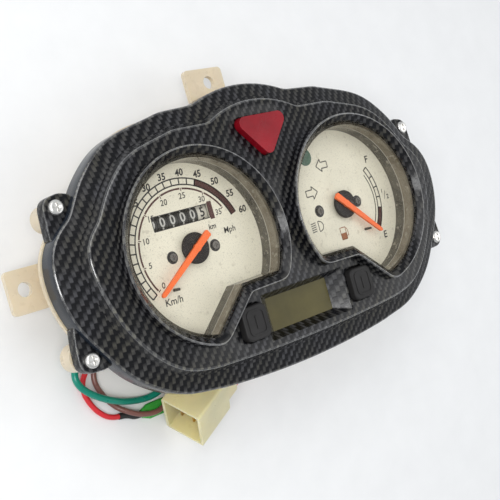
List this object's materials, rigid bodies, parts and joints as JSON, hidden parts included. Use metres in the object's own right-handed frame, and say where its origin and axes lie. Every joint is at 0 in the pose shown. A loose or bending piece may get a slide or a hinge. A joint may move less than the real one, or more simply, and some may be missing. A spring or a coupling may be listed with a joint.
{
  "type": "motorcycle instrument cluster",
  "caption": "Scooter instrument cluster: carbon-look bezel over a round speedometer and a fuel gauge, small clock, warning lens, push buttons, pale case with tabs, plug on loose wires.",
  "frame": {"origin": "centre of the bounding box of the cluster without its wires, on the plane of the case's back", "axes": "+Z out of the dials towards the rider, +Y to the top of the dials, +X to the rider's right along the long side"},
  "size_m": [0.245, 0.1651, 0.056],
  "materials": {
    "carbon_bezel": "gloss",
    "lens": "gloss",
    "red_lens": "gloss",
    "button_rubber": "satin",
    "clock_glass": "gloss",
    "backlight": "satin",
    "board": "satin",
    "switch": "satin",
    "dial": "satin",
    "screw": "satin",
    "needle": "satin",
    "black_plastic": "satin",
    "steel": "satin",
    "cup_metal": "satin",
    "brass": "satin",
    "magnet": "matte",
    "die_cast": "matte",
    "gear_plastic": "satin",
    "case_plastic": "satin",
    "black_rubber": "satin",
    "bulb_glass": "gloss",
    "connector_nylon": "satin",
    "green_sleeve": "satin",
    "teal_cover": "satin",
    "brown_cover": "satin",
    "blue_cover": "satin",
    "red_cover": "satin",
    "drum_white": "satin",
    "drum_black": "satin"
  },
  "bodies": {
    "cluster": {"bezel_cover": "carbon_bezel", "left_lens": "lens", "right_lens": "lens", "triangle_lens": "red_lens", "lcd_glass": "clock_glass", "lcd_backlight": "backlight", "clock_board": "board", "button_switches": "switch", "speedo_dial": "dial", "fuel_dial": "dial", "dial_screws": "screw", "stop_pins": "screw", "speedo_frame": "die_cast", "speedo_spigot": "die_cast", "odometer_bracket": "gear_plastic", "odometer_axle": "steel", "fuel_movement": "gear_plastic", "light_box": "case_plastic", "rear_case": "case_plastic", "case_screws": "screw", "bulb_holders": "black_rubber", "bulbs": "bulb_glass", "wire_grommets": "black_rubber", "teal_wire": "teal_cover", "brown_wire": "brown_cover", "blue_wire": "blue_cover", "red_wire": "red_cover", "lamp_lead": "red_cover", "heat_shrink": "black_rubber", "lead_sleeve": "green_sleeve", "lead_terminal": "brass", "connector_housing": "connector_nylon", "connector_terminals": "brass"},
    "left_push": {"left_button": "button_rubber"},
    "right_push": {"right_button": "button_rubber"},
    "speedo_pointer": {"speedo_needle": "needle", "speedo_hub_disc": "black_plastic", "speedo_shaft": "steel", "drag_cup": "cup_metal", "hairspring": "brass"},
    "fuel_pointer": {"fuel_needle": "needle", "fuel_hub_disc": "black_plastic", "fuel_shaft": "steel", "fuel_rotor": "magnet"},
    "speedo_spindle": {"input_spindle": "steel", "magnet": "magnet"},
    "lay_gear": {"lay_shaft": "gear_plastic"},
    "drum_1": {"odometer_drum_1": "drum_black"},
    "drum_2": {"odometer_drum_2": "drum_black"},
    "drum_3": {"odometer_drum_3": "drum_black"},
    "drum_4": {"odometer_drum_4": "drum_black"},
    "drum_5": {"odometer_drum_5": "drum_black"},
    "drum_6": {"odometer_drum_6": "drum_white", "odometer_wheel": "gear_plastic"}
  },
  "joints": [
    {"name": "left_button_press", "type": "slide", "parent": "cluster", "child": "left_push", "axis": [0, 0, -1], "range_m": [0, 0.001], "stiffness_N_per_m": 500, "springref_m": -0.0005},
    {"name": "right_button_press", "type": "slide", "parent": "cluster", "child": "right_push", "axis": [0, 0, -1], "range_m": [0, 0.001], "stiffness_N_per_m": 500, "springref_m": -0.0005},
    {"name": "speed_reading", "type": "hinge", "parent": "cluster", "child": "speedo_pointer", "pos_m": [-0.0459, -0.0081, 0], "axis": [0, 0, -1], "range_deg": [-5, 200], "stiffness_Nm_per_rad": 0.00002, "springref_deg": -4.58},
    {"name": "fuel_reading", "type": "hinge", "parent": "cluster", "child": "fuel_pointer", "pos_m": [0.0459, -0.0081, 0], "axis": [0, 0, 1], "range_deg": [-4.4, 80]},
    {"name": "spindle_spin", "type": "hinge", "parent": "cluster", "child": "speedo_spindle", "pos_m": [-0.0459, -0.0081, 0], "axis": [0, 0, 1], "continuous": true},
    {"name": "lay_spin", "type": "hinge", "parent": "cluster", "child": "lay_gear", "pos_m": [-0.0297, -0.0015, 0], "axis": [0, 0, 1], "continuous": true},
    {"name": "drum_6_turn", "type": "hinge", "parent": "cluster", "child": "drum_6", "pos_m": [-0.0459, 0.0059, 0.0319], "axis": [1, 0, 0], "continuous": true},
    {"name": "drum_5_turn", "type": "hinge", "parent": "cluster", "child": "drum_5", "pos_m": [-0.0459, 0.0059, 0.0319], "axis": [1, 0, 0], "continuous": true},
    {"name": "drum_4_turn", "type": "hinge", "parent": "cluster", "child": "drum_4", "pos_m": [-0.0459, 0.0059, 0.0319], "axis": [1, 0, 0], "continuous": true},
    {"name": "drum_3_turn", "type": "hinge", "parent": "cluster", "child": "drum_3", "pos_m": [-0.0459, 0.0059, 0.0319], "axis": [1, 0, 0], "continuous": true},
    {"name": "drum_2_turn", "type": "hinge", "parent": "cluster", "child": "drum_2", "pos_m": [-0.0459, 0.0059, 0.0319], "axis": [1, 0, 0], "continuous": true},
    {"name": "drum_1_turn", "type": "hinge", "parent": "cluster", "child": "drum_1", "pos_m": [-0.0459, 0.0059, 0.0319], "axis": [1, 0, 0], "continuous": true}
  ],
  "couplings": [
    {"joint": "lay_spin", "follows": "spindle_spin", "ratio": -1.1368},
    {"joint": "drum_6_turn", "follows": "spindle_spin", "ratio": 0.05684},
    {"joint": "drum_5_turn", "follows": "spindle_spin", "ratio": 0.005684},
    {"joint": "drum_4_turn", "follows": "spindle_spin", "ratio": 0.0005684},
    {"joint": "drum_3_turn", "follows": "spindle_spin", "ratio": 0.00005684},
    {"joint": "drum_2_turn", "follows": "spindle_spin", "ratio": 0.000005684},
    {"joint": "drum_1_turn", "follows": "spindle_spin", "ratio": 0.0000005684}
  ]
}
